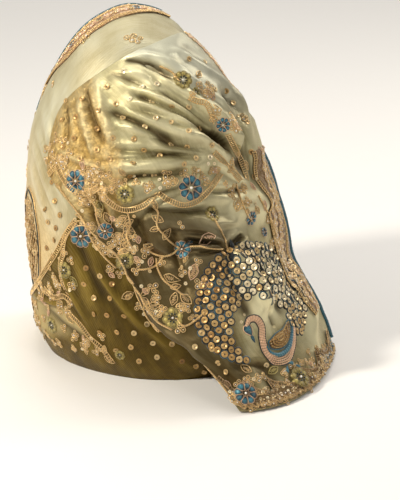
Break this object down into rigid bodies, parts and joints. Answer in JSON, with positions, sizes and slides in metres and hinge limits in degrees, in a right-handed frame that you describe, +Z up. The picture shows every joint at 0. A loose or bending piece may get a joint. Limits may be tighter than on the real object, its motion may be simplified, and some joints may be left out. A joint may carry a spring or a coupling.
{
  "type": "saree",
  "caption": "Embroidered silk saree folded and dressed into a rounded standing mound, its pallu gathered across the front and falling to a scalloped hem.",
  "frame": {"origin": "centre of the bounding box at the surface the saree rests on", "axes": "+Z up, -Y towards the front with the pallu, +X to the viewer's right when looking at the front"},
  "size_m": [0.2438, 0.2428, 0.2682],
  "materials": {
    "silk_champagne": "satin silk, champagne to sage gold",
    "silk_pale": "satin silk, pale cream side of the cloth",
    "silk_olive": "satin silk in soft shade, olive gold",
    "embroidery": "copper and gold thread embroidery",
    "teal_piping": "teal satin piping"
  },
  "bodies": {
    "root": {"hidden_folds": "silk_champagne", "outer_wrap": "silk_pale", "outer_wrap_border": "embroidery", "outer_wrap_piping": "teal_piping", "lower_body": "silk_olive", "pallu": "silk_champagne", "pallu_selvedge_border": "embroidery", "pallu_hem_border": "embroidery", "pallu_piping": "teal_piping"}
  },
  "joints": []
}
